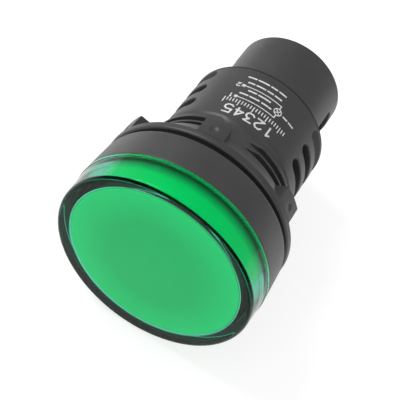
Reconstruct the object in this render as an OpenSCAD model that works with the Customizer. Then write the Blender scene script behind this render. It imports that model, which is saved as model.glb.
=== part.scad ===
// Panel pilot light for a round hole: a glossy lens on a black moulded housing, held by a plastic nut,
// with two screw terminals in its open tail. Millimetres, +Z up. The lens faces -Y and the tail faces +Y.
// The origin is on the axis, at the back face of the bezel. A place along the axis is a Y value.

/* [Lens] */
// Diameter of the head: the bezel's front and the lens lip on it
head_d = 40; // [39:0.5:44]
// Height of the lens in front of the bezel
lens_h = 6.6; // [5:0.1:9]
// How much the lens radius shrinks towards its face
lens_draft = 0.25; // [0:0.05:0.5]
// Radius of the edge round the lens face
lens_edge_r = 0.8; // [0.4:0.1:1.5]
// Thickness of the lens face
lens_face_t = 1; // [0.8:0.1:1.6]
// Thickness of the clear side wall
lens_wall = 2.6; // [2.2:0.1:3]
// Height of the lip where the lens meets the bezel
lens_lip_h = 0.6; // [0.4:0.1:1]
// How far the lip stands out from the side wall
lens_lip_w = 0.1; // [0.05:0.05:0.3]
// How far the spigot reaches into the bezel
spigot_l = 2.4; // [2:0.2:3]
// Thickness of the sealing ring under the spigot
seal_t = 0.8; // [0.6:0.1:1]
// Thickness of the diffuser's face
diffuser_face_t = 1.2; // [0.8:0.1:1.6]
// Thickness of the diffuser's skirt
diffuser_skirt_t = 1.2; // [0.8:0.1:1.6]

/* [Bezel] */
// How much the bezel radius shrinks towards the panel
bezel_draft = 0.5; // [0:0.1:0.8]
// Height of the bezel in front of the panel
bezel_h = 7.6; // [7:0.2:10]
// Thickness of the bezel's rim round the lens spigot
bezel_rim = 1.6; // [1.4:0.1:1.9]
// Thickness of the bezel's floor
bezel_floor_t = 2; // [1.6:0.2:2.6]
// Radius of the bezel's rear edge
bezel_edge_r = 0.7; // [0.3:0.1:1]

/* [Barrel] */
// Diameter over the thread, for a 30 mm panel hole
thread_d = 29.6; // [29.2:0.1:29.8]
// Depth of the thread
thread_depth = 0.9; // [0.8:0.05:1.1]
// Distance from one thread ridge to the next
thread_pitch = 1.6; // [1.5:0.1:1.8]
// Width of a ridge at its crest
thread_crest_w = 0.4; // [0.3:0.05:0.6]
// Width of a ridge's sloping flank
thread_flank_w = 0.25; // [0.2:0.05:0.4]
// Number of thread ridges
thread_ridges = 6; // [4:1:6]
// Length of the plain groove between the last ridge and the body
thread_relief = 1.65; // [1:0.05:1.8]
// How far the flats at the thread's top and bottom lie inside its root
thread_flat_in = 0.2; // [0.1:0.05:0.4]
// Length of the threaded barrel behind the bezel
barrel_l = 13.2; // [13:0.1:18]
// How far the vented body lies inside the thread's crests
body_relief = 0.7; // [0.5:0.1:1]
// Length of the vented body
body_l = 15.2; // [14.9:0.1:20]
// Thickness of the barrel and body wall
body_wall = 1.8; // [1.5:0.1:2]
// Radius of the shoulder at the end of the body
shoulder_r = 0.8; // [0.4:0.1:1]

/* [Vents] */
// Number of vent slots on each side
vent_rows = 3; // [2:1:4]
// Width of a vent slot
vent_w = 2.3; // [1.5:0.1:2.6]
// Distance from the body's start to the first slot's middle
vent_start = 4; // [3.3:0.1:4.5]
// Distance from the last slot's middle to the shoulder
vent_end = 2.4; // [2.2:0.1:3]
// Angle that a slot covers from tip to tip
vent_arc = 80; // [50:5:100]

/* [Tail] */
// Diameter of the tail
tail_d = 22.2; // [21.6:0.1:23]
// Length of the tail behind the shoulder
tail_l = 15.1; // [13.6:0.1:18]
// Thickness of the tail's wall
tail_wall = 1.2; // [1:0.1:1.4]
// Bevel at the end of the tail
tail_bevel = 0.6; // [0.2:0.1:0.8]
// Width of a wire window across the tail
window_w = 6.4; // [5:0.2:8]
// Length of a wire window along the tail
window_l = 6; // [5:0.2:7]
// Radius of a wire window's corners
window_corner_r = 0.8; // [0.3:0.1:1.5]

/* [Gasket and nut] */
// Thickness of the rubber gasket
gasket_t = 0.8; // [0.6:0.1:2]
// Width of the gasket round the barrel
gasket_w = 4.2; // [3:0.1:4.5]
// How far the nut's flange lies inside the head's edge
nut_inset = 0.5; // [-0.5:0.1:1]
// Thickness of the nut's flange at its edge
nut_flange_t = 1.6; // [1.2:0.1:2.5]
// Wall at the end of the nut's tapering hub
nut_hub_wall = 0.5; // [0.4:0.1:1.5]
// Length of the hub behind the flange
nut_hub_l = 5.3; // [3:0.1:6]
// Number of grip lugs round the nut
lug_count = 6; // [3:1:8]
// Angle that a lug covers
lug_arc = 15.5; // [12:0.5:24]
// Turn of the first lug from the top
lug_turn = -8; // [-30:0.5:30]
// How far a lug's outer face lies inside the flange's edge
lug_inset = 0.2; // [0.2:0.1:1.5]
// How much a lug's outer face slopes in
lug_slope = 0.1; // [0:0.1:0.8]
// Length of a lug's outer face behind the flange
lug_l = 4.2; // [3.5:0.1:5]
// How much further a lug reaches at its foot than at its outer face
lug_tip_l = 0.9; // [0:0.1:1.5]

/* [Light source] */
// Diameter of one lamp
led_d = 5; // [3:0.5:5]
// Height of one lamp
led_h = 5.4; // [4:0.2:6]
// Number of lamps in the outer ring
led_outer = 9; // [6:1:10]
// Number of lamps in the inner ring
led_inner = 3; // [2:1:3]
// Distance from the outer lamps to the board's edge
led_edge = 1.5; // [1:0.1:2]
// Thickness of the circuit boards
board_t = 1.6; // [1:0.1:1.6]

// Length of the film capacitor
film_l = 10.5; // [8:0.5:11]
// Height of the film capacitor on its board
film_h = 7; // [5:0.5:8]
// Length of the electrolytic capacitor
can_l = 10; // [8:0.5:10.5]
// Length of the bridge rectifier
bridge_l = 4.8; // [4:0.2:5]
// Height of the bridge rectifier on its board
bridge_h = 2.5; // [2:0.1:3]
// Diameter of a resistor's ends
resistor_d = 2.5; // [2:0.1:2.6]

/* [Terminals] */
// Thickness of the terminal base's floor
base_t = 3.7; // [3.4:0.1:4.2]
// Thickness of the wall between the terminals
partition_t = 1.6; // [1.2:0.1:1.8]
// Thickness of a terminal plate
plate_t = 0.8; // [0.6:0.1:1]
// Thickness of a clamp washer
washer_t = 0.9; // [0.7:0.1:1.2]
// Length of a clamp washer from side wall to side wall
washer_l = 8; // [7:0.1:8.4]
// Diameter of the screw's shank
screw_d = 3; // [2.5:0.1:3]
// Diameter of the screw's head
screw_head_d = 5.6; // [5:0.1:6]
// Height of the screw's head
screw_head_h = 2; // [1.6:0.1:2.2]
// Length of the shank under the head
shank_l = 4.4; // [4:0.1:4.6]
// Diameter of an insulated lead
lead_d = 1.4; // [1:0.1:1.6]

/* [Hidden] */
$fn = 96;

// Clearances
fit_gap = 0.1;          // a moulded piece in its seat
rest_gap = 0.05;        // between faces that are screwed or pressed together
cut = 1;                // how far a cutting shape runs past a face
nut_gap = 0.1;          // thread crest to the nut's bore
shank_gap = 0.05;       // screw shank in its plate
washer_gap = 0.3;       // washer to the walls beside it
board_gap = 0.15;       // board edge in its guides

// Places along the axis
bezel_front = -bezel_h;
lens_front = bezel_front - lens_h;
cup_floor = -bezel_floor_t;
seal_seat = bezel_front + spigot_l + seal_t;
thread_end = barrel_l;
body_end = thread_end + body_l;
tail_end = body_end + tail_l;
bore_end = body_end - body_wall;
ridge_start = thread_end - thread_relief - thread_crest_w / 2 - thread_flank_w;   // middle of the last ridge
pilot_end = ridge_start - (thread_ridges - 0.5) * thread_pitch;
nut_front = gasket_t + rest_gap;
lug_start = nut_front + nut_flange_t;

// Radii
lens_r = head_d / 2;
bezel_r = head_d / 2;
socket_r = bezel_r - bezel_rim;
spigot_r = socket_r - fit_gap;
pocket_r = lens_r - lens_wall;
thread_r = thread_d / 2;
thread_root_r = thread_r - thread_depth;
thread_flat_z = thread_root_r - thread_flat_in;
body_r = thread_r - body_relief;
bore_r = body_r - body_wall;
tail_r = tail_d / 2;
tail_bore_r = tail_r - tail_wall;
nut_bore_r = thread_r + nut_gap;
nut_r = bezel_r - nut_inset;
nut_hub_r = nut_bore_r + nut_hub_wall;
lug_r = nut_r - lug_inset;
lug_foot_r = nut_bore_r + nut_hub_wall / 2;       // inside the hub's wall

// Diffuser and lamp board
diffuser_r = pocket_r - fit_gap;
diffuser_bore_r = diffuser_r - diffuser_skirt_t;
diffuser_front = lens_front + lens_face_t + rest_gap;
led_board_r = diffuser_bore_r - 3 * fit_gap;
led_board_face = cup_floor - board_t;
led_flange_h = 1;       // foot of a lamp
led_flange_w = 0.3;     // how far the foot stands out
led_foot_r = led_d / 2 + led_flange_w;
led_outer_r = led_board_r - led_edge - led_foot_r;
led_inner_r = led_outer_r * 0.4;

// Driver board: it stands on edge in guides at the top and bottom of the bore
board_x = -3;                                     // its mid-plane, to the left of the axis
board_face_x = board_x + board_t / 2;             // the face that carries the components
board_back_x = board_x - board_t / 2;
board_half_h = sqrt(pow(bore_r, 2) - pow(board_back_x, 2)) - 2 * board_gap;
board_start = 0.5;
board_end = bore_end - 1.1;
guide_w = 1;            // thickness of a guide rib
guide_depth = 1.6;      // how far a guide overlaps the board
pin_w = 0.6;            // square pins between the boards
pin_pitch = 2.54;
pin_lap = 1.7;          // how far a pin reaches along the driver board
part_edge = 2;          // board edge to the nearest component
part_mid = 1.2;         // half of the free strip along the middle
part_gap = 0.6;         // between neighbouring components
part_start = board_start + pin_lap + part_gap;    // where the first components begin, clear of the pins
part_h = board_half_h - part_edge - part_mid;     // height left for a component above or below that strip
part_end = board_end - 5;                         // where the capacitors end, clear of the leads
vent_pitch = (body_l - vent_start - vent_end) / (vent_rows - 1);

// Terminal base: it is pushed in from the tail and stops on a lip
base_front = body_end + 0.5;
base_face = base_front + base_t;
base_r = tail_bore_r - fit_gap;
lip_w = 0.9;            // width of the lip that stops the base
partition_end = tail_end - 1;
plate_face = base_face + plate_t;
plate_x0 = partition_t / 2 + 0.2;                 // inner edge of a terminal plate
plate_x1 = tail_bore_r - 1.5;                     // outer edge, clear of a wire's way in
terminal_x = (plate_x0 + plate_x1) / 2;           // the screw stands in the middle of its plate
washer_w = plate_x1 - plate_x0 - 1;
leg_w = 0.8;            // thickness of the leg under a plate
leg_h = 2;              // width of the leg
leg_z = 2;              // height of leg 1 above the axis, and of leg 2 below it
leg_end = base_front - 1.1;
side_wall_t = 1;        // walls that stop a washer from turning
side_wall_h = 3.4;
washer_front = plate_face + rest_gap;
head_front = washer_front + washer_t + rest_gap;
shank_r = screw_d / 2 - shank_gap;
screw_hole_d = screw_d + 0.4;                     // clearance hole for a screw
screw_floor_t = 0.8;    // what is left of the base under a screw's hole
window_start = base_face + 0.4;
wire_turn_r = 1.2;      // bend radius of a lead
wire_x = board_face_x + lead_d / 2;
wire_end = part_end + 1;

// Turns a revolved shape so that its axis is Y. Angles then run from +X towards -Z.
module along_y() {
    rotate([-90, 0, 0]) children();
}

// Half section of a ring: radius across, place along the axis up
module section(r_in, r_out, start, end) {
    translate([r_in, start]) square([r_out - r_in, end - start]);
}

// What a round corner of the given radius takes off an outer edge; way is 1 on a rear edge, -1 on a front one
module round_off(r_out, end, radius, way) {
    difference() {
        translate([r_out - radius, way > 0 ? end - radius : end - cut]) square([radius + cut, radius + cut]);
        translate([r_out - radius, end - way * radius]) circle(r = radius);
    }
}

// Rectangle with round corners, centred
module round_rect(w, h, radius) {
    square([w - 2 * radius, h], center = true);
    square([w, h - 2 * radius], center = true);
    for (x = [-1, 1], y = [-1, 1])
        translate([x * (w / 2 - radius), y * (h / 2 - radius)]) circle(r = radius);
}

// Box between two corners
module block(low, high) {
    translate(low) cube(high - low);
}

// Clear lens: a deep cap whose spigot drops into the bezel
module lens() {
    wall_r = lens_r - lens_lip_w;
    front_r = lens_r - lens_draft;
    color("limegreen", 0.6) along_y() rotate_extrude() difference() {
        union() {
            polygon([[0, lens_front], [front_r, lens_front], [wall_r, bezel_front - lens_lip_h],
                [lens_r, bezel_front - lens_lip_h], [lens_r, bezel_front], [0, bezel_front]]);
            section(0, spigot_r, bezel_front - cut, bezel_front + spigot_l);
        }
        section(-cut, pocket_r, lens_front + lens_face_t, bezel_front + spigot_l + cut);
        round_off(front_r, lens_front, lens_edge_r, -1);
    }
}

// Frosted cup behind the lens face, standing on the bezel's floor
module diffuser() {
    color("mediumseagreen") along_y() rotate_extrude() difference() {
        section(0, diffuser_r, diffuser_front, cup_floor);
        section(-cut, diffuser_bore_r, diffuser_front + diffuser_face_t, cup_floor + cut);
    }
}

module lens_seal() {
    color("dimgray") along_y() rotate_extrude()
        section(pocket_r + fit_gap, spigot_r, seal_seat - seal_t, seal_seat);
}

// One thread ridge in half section, with its crest in the middle
module ridge(place) {
    foot = thread_crest_w / 2 + thread_flank_w;
    translate([thread_root_r, place]) polygon([[-cut, -foot], [0, -foot],
        [thread_depth, -thread_crest_w / 2], [thread_depth, thread_crest_w / 2], [0, foot], [-cut, foot]]);
}

// Bezel, barrel, body and tail outside, in half section
module housing_outline() {
    rear_r = bezel_r - bezel_draft;
    difference() {
        polygon([[0, bezel_front], [bezel_r, bezel_front], [rear_r, 0], [0, 0]]);
        round_off(rear_r, 0, bezel_edge_r, 1);
    }
    section(0, thread_r, -cut, pilot_end);
    section(0, thread_root_r, 0, thread_end);
    for (i = [0:thread_ridges - 1])
        ridge(ridge_start - i * thread_pitch);
    difference() {
        section(0, body_r, thread_end, body_end);
        round_off(body_r, body_end, shoulder_r, 1);
    }
    polygon([[0, 0], [tail_r, 0], [tail_r, tail_end - tail_bevel], [tail_r - tail_bevel, tail_end],
        [0, tail_end]]);
}

// Everything that the bore takes out, in half section
module housing_bore() {
    section(-cut, socket_r, bezel_front - cut, seal_seat);
    section(-cut, pocket_r, bezel_front - cut, cup_floor);
    section(-cut, bore_r, cup_floor - cut, bore_end);
    section(-cut, tail_bore_r - lip_w, bore_end - cut, tail_end);
    section(-cut, tail_bore_r, base_front, tail_end + cut);
}

// The thread stops at flats on the top and bottom
module thread_flats() {
    depth = thread_r - thread_flat_z + cut;
    for (side = [-1, 1])
        translate([-thread_r, pilot_end, side > 0 ? thread_flat_z : -thread_flat_z - depth])
            cube([2 * thread_r, thread_end - pilot_end, depth]);
}

// A slot round the body with round ends, centred on +X
module vent(place) {
    half_arc = vent_arc / 2 - asin(vent_w / 2 / body_r);
    along_y() {
        rotate(-half_arc) rotate_extrude(angle = 2 * half_arc)
            section(bore_r - cut, body_r + cut, place - vent_w / 2, place + vent_w / 2);
        for (side = [-1, 1])
            rotate(side * half_arc) translate([bore_r - cut, 0, place]) rotate([0, 90, 0])
                cylinder(d = vent_w, h = body_wall + 2 * cut);
    }
}

// Wire window through the tail's wall on +X
module window() {
    translate([tail_bore_r - 3 * cut, window_start + window_l / 2, 0]) rotate([0, 90, 0])
        linear_extrude(tail_wall + 4 * cut) round_rect(window_w, window_l, window_corner_r);
}

// Pairs of ribs that hold the driver board's top and bottom edges
module board_guides() {
    inner_z = board_half_h - guide_depth;
    guide_x = board_t / 2 + board_gap + guide_w / 2;
    guide_l = bore_end + cut - cup_floor;
    intersection() {
        for (z = [-1, 1], side = [-1, 1])
            translate([board_x + side * guide_x, cup_floor + guide_l / 2, z * (inner_z + body_r) / 2])
                cube([guide_w, guide_l, body_r - inner_z], center = true);
        along_y() translate([0, 0, cup_floor]) cylinder(r = bore_r + body_wall / 2, h = guide_l);
    }
}

// Bezel, threaded barrel, vented body and tail moulded as one piece
module housing() {
    color([0.14, 0.14, 0.14]) difference() {
        union() {
            difference() {
                along_y() rotate_extrude() difference() {
                    housing_outline();
                    housing_bore();
                }
                thread_flats();
                for (half = [0, 180], i = [0:vent_rows - 1])
                    rotate([0, half, 0]) vent(thread_end + vent_start + i * vent_pitch);
            }
            board_guides();
        }
        for (half = [0, 180]) rotate([0, half, 0]) window();
    }
}

module gasket() {
    color([0.05, 0.05, 0.05]) along_y() rotate_extrude()
        section(thread_r + fit_gap, thread_r + fit_gap + gasket_w, 0, gasket_t);
}

// Half section of one grip lug
module lug_section() {
    polygon([[lug_foot_r, lug_start - cut], [lug_r, lug_start - cut], [lug_r, lug_start],
        [lug_r - lug_slope, lug_start + lug_l], [nut_hub_r, lug_start + lug_l + lug_tip_l],
        [lug_foot_r, lug_start + lug_l + lug_tip_l]]);
}

// Flanged nut with a tapering hub and lugs for the fingers; its bore clears the thread's crests
module mounting_nut() {
    edge = 0.5;
    color([0.16, 0.16, 0.16]) along_y() {
        rotate_extrude() {
            polygon([[nut_bore_r, nut_front], [nut_r - edge, nut_front], [nut_r, nut_front + edge],
                [nut_r, lug_start], [nut_r - edge, lug_start], [nut_hub_r, lug_start + nut_hub_l],
                [nut_bore_r, lug_start + nut_hub_l]]);
        }
        for (i = [0:lug_count - 1])
            rotate(lug_turn - 90 - lug_arc / 2 + i * 360 / lug_count) rotate_extrude(angle = lug_arc)
                lug_section();
    }
}

module led_board() {
    color("white") along_y() translate([0, 0, led_board_face]) cylinder(r = led_board_r, h = board_t);
}

// Lamp with a foot and a domed front
module led() {
    along_y() rotate_extrude() difference() {
        union() {
            section(0, led_foot_r, led_board_face - led_flange_h, led_board_face);
            section(0, led_d / 2, led_board_face - led_h, led_board_face);
        }
        round_off(led_d / 2, led_board_face - led_h, led_d / 4, -1);
        section(-cut, 0, led_board_face - led_h - cut, led_board_face + cut);
    }
}

// Two rings of lamps
module led_lamps() {
    color("palegreen") {
        for (i = [0:led_outer - 1])
            rotate([0, i * 360 / led_outer, 0]) translate([led_outer_r, 0, 0]) led();
        for (i = [0:led_inner - 1])
            rotate([0, i * 360 / led_inner + 180 / led_outer, 0]) translate([led_inner_r, 0, 0]) led();
    }
}

module driver_board() {
    color("darkgreen")
        block([board_back_x, board_start, -board_half_h], [board_face_x, board_end, board_half_h]);
}

// Two square pins that join the boards
module board_pins() {
    color("gold") for (side = [-1, 1])
        translate([board_face_x, cup_floor, side * pin_pitch / 2 - pin_w / 2])
            cube([pin_w, board_start + pin_lap - cup_floor, pin_w]);
}

// Boxed capacitor below the axis
module film_capacitor() {
    color("firebrick") translate([board_face_x, part_end - film_l / 2, -part_mid - part_h / 2])
        rotate([90, 0, 90]) linear_extrude(film_h) round_rect(film_l, part_h, part_h / 12);
}

// Can with a rolled groove, lying above the axis
module electrolytic_capacitor() {
    can_r = part_h / 2;
    color("navy") translate([board_face_x + can_r, part_end - can_l, part_mid + can_r]) along_y()
        rotate_extrude() difference() {
            section(0, can_r, 0, can_l);
            translate([can_r, can_l * 0.82]) circle(r = can_r / 10);
            round_off(can_r, 0, can_r / 8, -1);
        }
}

module bridge_rectifier() {
    color([0.2, 0.2, 0.2]) translate([board_face_x, part_start, -part_mid - part_h])
        cube([bridge_h, bridge_l, part_h * 0.8]);
}

// Two resistors with thicker ends, lying across the board
module resistors() {
    end_r = resistor_d / 2;
    body_len = part_h * 0.8;
    cap_len = body_len / 4;
    color("tan") for (i = [0, 1])
        translate([board_face_x + end_r, part_start + end_r + i * 1.3 * resistor_d, part_mid + part_gap])
            rotate_extrude() {
                section(0, end_r * 0.8, 0, body_len);
                section(0, end_r, 0, cap_len);
                section(0, end_r, body_len - cap_len, body_len);
            }
}

// Insulating floor, the wall between the terminals and the low walls beside the washers
module terminal_base() {
    side_z = washer_l / 2 + washer_gap;
    color([0.2, 0.2, 0.2]) difference() {
        union() {
            along_y() translate([0, 0, base_front]) cylinder(r = base_r, h = base_t);
            intersection() {
                union() {
                    block([-partition_t / 2, base_face - cut, -base_r],
                        [partition_t / 2, partition_end, base_r]);
                    for (side = [-1, 1])
                        translate([-base_r, base_face - cut, side > 0 ? side_z : -side_z - side_wall_t])
                            cube([2 * base_r, side_wall_h + cut, side_wall_t]);
                }
                along_y() translate([0, 0, base_front]) cylinder(r = base_r, h = tail_end - base_front);
            }
        }
        for (half = [0, 180]) rotate([0, half, 0]) {
            along_y() translate([terminal_x, 0, base_front + screw_floor_t])
                cylinder(d = screw_hole_d, h = base_t);
            block([plate_x0 - fit_gap, base_front - cut, -leg_z - leg_h / 2 - fit_gap],
                [plate_x0 + leg_w + fit_gap, base_face + cut, -leg_z + leg_h / 2 + fit_gap]);
        }
    }
}

// Stamped plate with a tapped hole and a leg down through the base, on +X
module terminal_plate() {
    color("silver") {
        difference() {
            block([plate_x0, base_face, -washer_l / 2], [plate_x1, plate_face, washer_l / 2]);
            along_y() translate([terminal_x, 0, base_face - cut])
                cylinder(d = screw_d, h = plate_t + 2 * cut);
        }
        block([plate_x0, leg_end, -leg_z - leg_h / 2],
            [plate_x0 + leg_w, base_face + plate_t / 2, -leg_z + leg_h / 2]);
    }
}

// Square washer that rides up and down with the screw, on +X
module clamp_washer() {
    color("gainsboro") difference() {
        block([terminal_x - washer_w / 2, washer_front, -washer_l / 2],
            [terminal_x + washer_w / 2, washer_front + washer_t, washer_l / 2]);
        along_y() translate([terminal_x, 0, washer_front - cut])
            cylinder(d = screw_hole_d, h = washer_t + 2 * cut);
    }
}

// Pan-head screw with a cross recess, on +X
module terminal_screw() {
    recess_w = 0.9;
    recess_l = screw_head_d - 1.4;
    recess_depth = screw_head_h * 0.55;
    color("silver") translate([terminal_x, 0, 0]) difference() {
        along_y() rotate_extrude() difference() {
            union() {
                section(0, screw_head_d / 2, head_front, head_front + screw_head_h);
                section(0, shank_r, head_front - shank_l, head_front + cut);
            }
            round_off(screw_head_d / 2, head_front + screw_head_h, screw_head_h * 0.4, 1);
            section(-cut, 0, head_front - shank_l - cut, head_front + screw_head_h + cut);
        }
        for (turn = [0, 90])
            translate([0, head_front + screw_head_h, 0]) rotate([0, turn, 0])
                cube([recess_l, 2 * recess_depth, recess_w], center = true);
    }
}

// Straight stretch of a lead
module lead_run(x, start, end, z) {
    translate([x, start, z]) along_y() cylinder(d = lead_d, h = end - start);
}

// Lead of the left terminal: straight down beside the board
module lead_wire_1() {
    color("crimson") lead_run(wire_x, wire_end, leg_end, leg_z);
}

// Lead of the right terminal: it steps across to the board's face
module lead_wire_2() {
    start_x = plate_x0 + leg_w / 2;
    high = leg_end - 0.4;
    low = high - 2 * wire_turn_r;
    color("gray") {
        lead_run(start_x, high, leg_end, -leg_z);
        translate([start_x - wire_turn_r, high, -leg_z]) rotate(-90) rotate_extrude(angle = 90)
            translate([wire_turn_r, 0]) circle(d = lead_d);
        translate([wire_x + wire_turn_r, high - wire_turn_r, -leg_z]) rotate([0, 90, 0])
            cylinder(d = lead_d, h = start_x - wire_x - 2 * wire_turn_r);
        translate([wire_x + wire_turn_r, low, -leg_z]) rotate(90) rotate_extrude(angle = 90)
            translate([wire_turn_r, 0]) circle(d = lead_d);
        lead_run(wire_x, wire_end, low, -leg_z);
    }
}

housing();
lens();
diffuser();
lens_seal();
gasket();
mounting_nut();
led_board();
led_lamps();
driver_board();
board_pins();
film_capacitor();
electrolytic_capacitor();
bridge_rectifier();
resistors();
terminal_base();
rotate([0, 180, 0]) terminal_plate();  // terminal_plate_1
terminal_plate();  // terminal_plate_2
rotate([0, 180, 0]) clamp_washer();  // clamp_washer_1
clamp_washer();  // clamp_washer_2
rotate([0, 180, 0]) terminal_screw();  // terminal_screw_1
terminal_screw();  // terminal_screw_2
lead_wire_1();
lead_wire_2();
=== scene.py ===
from math import ceil, floor, pi, radians

import bmesh
import bpy
import numpy as np
from mathutils import Matrix, Vector


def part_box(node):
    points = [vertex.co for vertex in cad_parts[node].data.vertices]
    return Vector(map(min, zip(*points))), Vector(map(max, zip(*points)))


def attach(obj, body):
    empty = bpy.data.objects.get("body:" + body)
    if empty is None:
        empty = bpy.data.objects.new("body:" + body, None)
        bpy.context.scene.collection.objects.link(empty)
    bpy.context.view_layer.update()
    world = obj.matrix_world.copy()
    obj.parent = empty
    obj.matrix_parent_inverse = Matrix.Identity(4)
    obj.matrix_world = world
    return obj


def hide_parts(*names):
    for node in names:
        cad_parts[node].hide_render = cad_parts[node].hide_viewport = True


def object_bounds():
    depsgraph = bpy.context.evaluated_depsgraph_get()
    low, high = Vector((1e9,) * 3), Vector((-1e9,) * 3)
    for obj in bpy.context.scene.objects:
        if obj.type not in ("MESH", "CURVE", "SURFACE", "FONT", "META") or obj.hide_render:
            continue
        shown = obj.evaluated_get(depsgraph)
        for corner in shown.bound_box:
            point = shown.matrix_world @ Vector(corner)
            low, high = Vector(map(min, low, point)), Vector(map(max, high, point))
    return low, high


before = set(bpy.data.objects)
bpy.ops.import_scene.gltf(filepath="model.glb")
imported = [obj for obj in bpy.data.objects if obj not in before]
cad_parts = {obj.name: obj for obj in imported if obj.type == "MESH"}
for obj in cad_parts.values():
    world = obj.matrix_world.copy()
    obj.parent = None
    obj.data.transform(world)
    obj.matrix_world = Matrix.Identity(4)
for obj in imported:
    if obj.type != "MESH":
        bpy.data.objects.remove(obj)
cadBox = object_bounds()

# All shapes are worked out in millimetres. The axis of the light is Y, and an angle round it runs
# from +Z towards +X. The origin is on the axis, at the back face of the bezel.
mm = 0.001
weldStep = 1e-4
turn = 360


def nodeBox(name):
    low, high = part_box(name)
    return np.array(low) / mm, np.array(high) / mm


# ---- meshes from arrays

# (angle in degrees, radius, place along Y) to x, y, z; the three arrays broadcast together
def onAxis(angle, radius, place):
    angle = np.radians(angle)
    return np.stack(np.broadcast_arrays(radius * np.sin(angle), place, radius * np.cos(angle)), axis=-1)


# quads between neighbouring rows and columns of a grid, closed or open each way
def gridQuads(rows, columns, closedRows=False, closedColumns=False):
    index = np.arange(rows * columns).reshape(rows, columns)
    if closedRows:
        index = np.vstack([index, index[:1]])
    if closedColumns:
        index = np.hstack([index, index[:, :1]])
    corners = [index[:-1, :-1], index[1:, :-1], index[1:, 1:], index[:-1, 1:]]
    return np.stack(corners, axis=-1).reshape(-1, 4)


def gridPatch(points, closedRows=False, closedColumns=False):
    rows, columns = points.shape[:2]
    return points.reshape(-1, 3), gridQuads(rows, columns, closedRows, closedColumns)


# several patches as one: points in one list, quads renumbered
def joinPatches(patches):
    offsets = np.cumsum([0] + [len(points) for points, quads in patches])
    points = np.vstack([points for points, quads in patches])
    quads = np.vstack([quads + offset for (_, quads), offset in zip(patches, offsets)])
    return points, quads


# merges equal points; a quad that loses a side becomes a triangle, one that loses more goes
def weld(points, quads):
    keys = np.round(points / weldStep).astype(np.int64)
    _, first, inverse = np.unique(keys, axis=0, return_index=True, return_inverse=True)
    quads = inverse.reshape(-1)[quads]
    pinched = quads == np.roll(quads, -1, axis=1)
    whole = quads[(pinched.sum(axis=1) == 0) & (quads[:, 0] != quads[:, 2]) & (quads[:, 1] != quads[:, 3])]
    single = pinched.sum(axis=1) == 1
    order = (pinched[single].argmax(axis=1)[:, None] + np.arange(1, 4)) % 4
    triangles = np.take_along_axis(quads[single], order, axis=1)
    return points[first], whole.tolist() + triangles.tolist()


# a welded, outward-facing, smooth mesh object that rides on a body
def makePiece(name, patches, body, look, replaced=(), sharpAngle=38):
    points, faces = weld(*joinPatches(patches))
    mesh = bpy.data.meshes.new(name)
    mesh.from_pydata(points * mm, [], faces)
    work = bmesh.new()
    work.from_mesh(mesh)
    bmesh.ops.recalc_face_normals(work, faces=work.faces)
    work.to_mesh(mesh)
    work.free()
    mesh.polygons.foreach_set("use_smooth", np.ones(len(mesh.polygons), bool))
    mesh.set_sharp_from_angle(angle=radians(sharpAngle))
    mesh.materials.append(look)
    piece = bpy.data.objects.new(name, mesh)
    bpy.context.collection.objects.link(piece)
    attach(piece, body)
    if replaced:
        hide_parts(*replaced)
    return piece


# outline of (radius, place) corners with a round of the given radius at each: the arc runs between the
# two tangent points about the centre on the corner's bisector, and a support point stands beside each
def roundOutline(corners, steps=7, closed=True):
    values = np.array(corners, float)
    spots, radius = values[:, :2], values[:, 2:3]
    before, after = np.roll(spots, 1, axis=0) - spots, np.roll(spots, -1, axis=0) - spots
    lengthBefore = np.linalg.norm(before, axis=1, keepdims=True)
    lengthAfter = np.linalg.norm(after, axis=1, keepdims=True)
    before, after = before / lengthBefore, after / lengthAfter
    half = np.arccos(np.clip((before * after).sum(axis=1, keepdims=True), -1, 1)) / 2
    tangent = radius / np.tan(half)
    bisector = before + after
    bisector = bisector / np.maximum(np.linalg.norm(bisector, axis=1, keepdims=True), 1e-9)
    centre = spots + bisector * radius / np.sin(half)
    start, end = spots + before * tangent - centre, spots + after * tangent - centre
    startAngle = np.arctan2(start[:, 1:], start[:, :1])
    sweep = (np.arctan2(end[:, 1:], end[:, :1]) - startAngle + pi) % (2 * pi) - pi
    share = np.linspace(0, 1, steps)[None, :]
    angle = startAngle + sweep * share
    arc = centre[:, None] + radius[:, None] * np.stack([np.cos(angle), np.sin(angle)], axis=-1)
    beside = np.minimum(tangent + 0.25, 0.5 * np.minimum(lengthBefore, lengthAfter))
    supportIn, supportOut = spots + before * beside, spots + after * beside
    outline = np.concatenate([supportIn[:, None], arc, supportOut[:, None]], axis=1)
    if not closed:
        outline[0, :-1] = spots[0]
        outline[-1, 1:] = spots[-1]
    return outline.reshape(-1, 2)


# a closed outline turned all the way round the axis
def turned(outline, segments=turn):
    angle = np.arange(segments)[:, None] * 360 / segments
    return gridPatch(onAxis(angle, outline[:, 0], outline[:, 1]), closedRows=True, closedColumns=True)


def smoothStep(value):
    value = np.clip(value, 0, 1)
    return value * value * (3 - 2 * value)


# ---- materials

# an output socket on which Python's operators add Math nodes
class Wire:
    def __init__(self, look, socket):
        self.look, self.socket = look, socket

    # another output of the same node
    def beside(self, output):
        return Wire(self.look, self.socket.node.outputs[output])

    def math(self, operation, *values):
        return self.look.add("ShaderNodeMath", {"operation": operation}, dict(enumerate(values)))

    def __add__(self, other):
        return self.math("ADD", self, other)

    def __sub__(self, other):
        return self.math("SUBTRACT", self, other)

    def __rsub__(self, other):
        return self.math("SUBTRACT", other, self)

    def __mul__(self, other):
        return self.math("MULTIPLY", self, other)

    def __pow__(self, other):
        return self.math("POWER", self, other)

    # distance to the nearest middle between two whole numbers, 0 to 0.5
    def fromMiddle(self):
        return self.math("ABSOLUTE", self.math("FRACT", self) - 0.5)

    __radd__ = __add__
    __rmul__ = __mul__


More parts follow.
